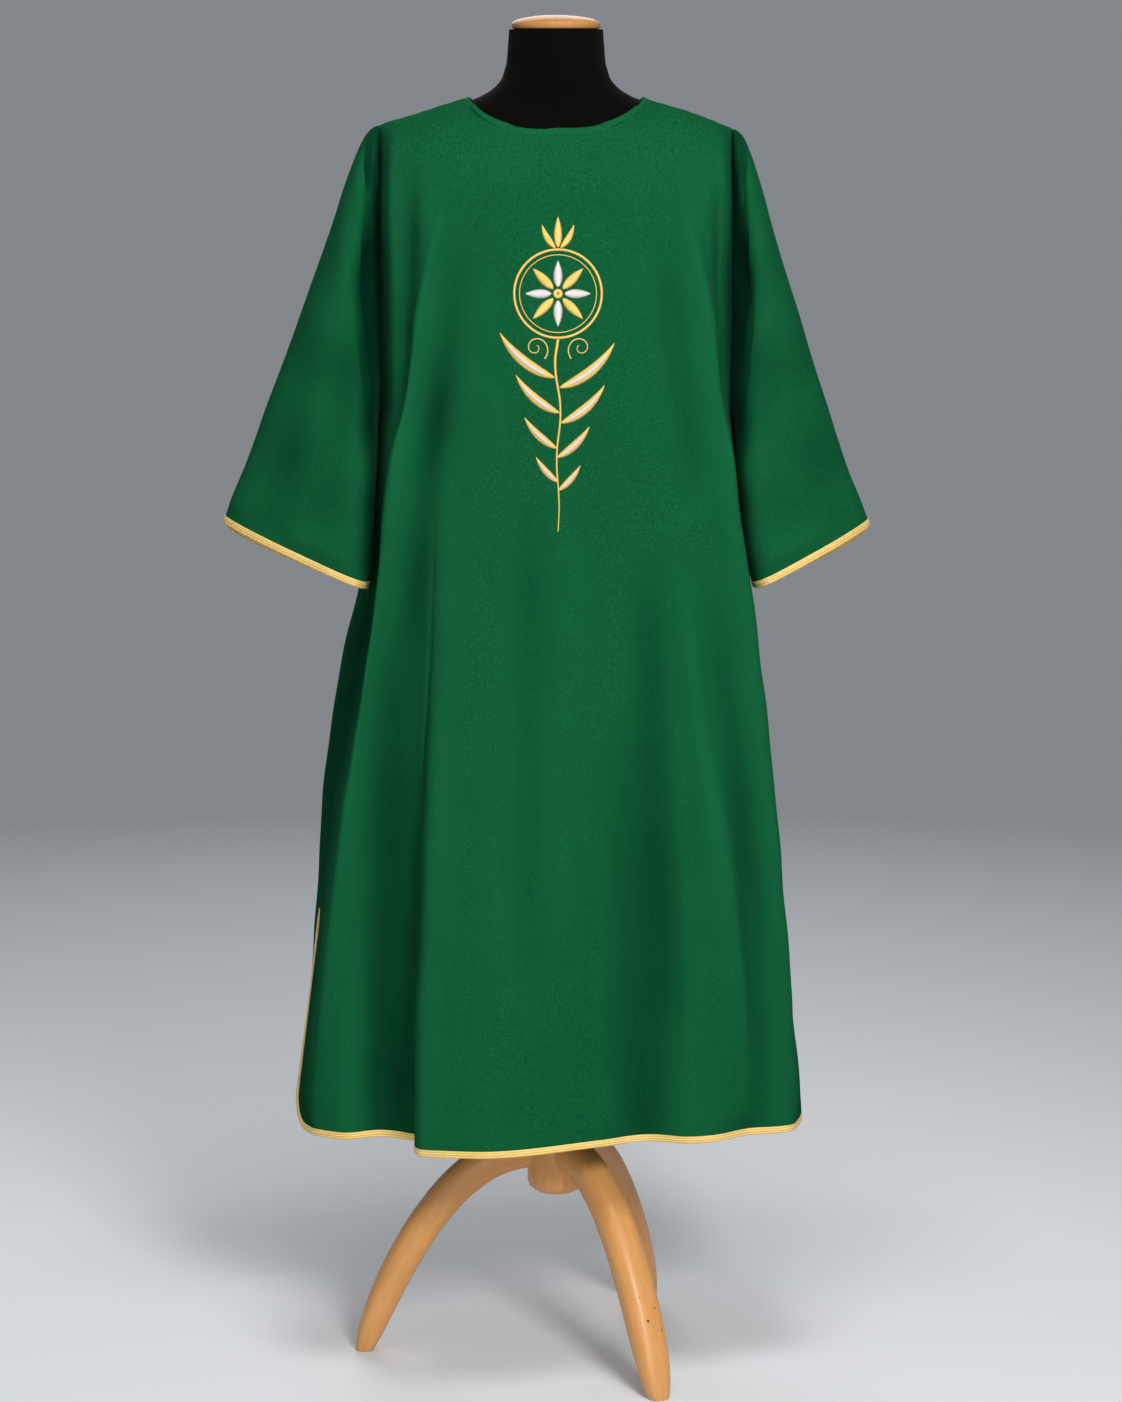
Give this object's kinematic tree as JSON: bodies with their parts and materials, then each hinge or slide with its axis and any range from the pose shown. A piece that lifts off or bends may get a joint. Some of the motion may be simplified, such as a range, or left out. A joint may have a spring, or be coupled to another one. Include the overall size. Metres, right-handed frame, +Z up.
{
  "type": "dalmatic on a dress form",
  "caption": "Wide-sleeved green dalmatic with gold-bound cuffs, slits and hem, worn by a limbless dress form on a wooden tripod.",
  "frame": {"origin": "middle of the bounding box at the floor", "axes": "+Z up, -Y towards the garment's front, +X to the viewer's right when facing the front"},
  "size_m": [0.7968, 0.46, 1.6673],
  "materials": {
    "green": "matt dark green woven cloth",
    "gold": "gold braid with a soft sheen",
    "jersey": "black jersey",
    "wood": "satin varnished beech"
  },
  "bodies": {
    "root": {"front_body": "green", "trim_front": "gold", "back_body": "green", "trim_back": "gold", "neck_binding": "green", "sleeve_left": "green", "trim_sleeve_left": "gold", "sleeve_right": "green", "trim_sleeve_right": "gold", "form_torso": "jersey", "form_neck_cap": "wood", "form_pole": "wood", "form_hub": "wood", "leg_1": "wood", "leg_2": "wood", "leg_3": "wood"}
  },
  "joints": []
}
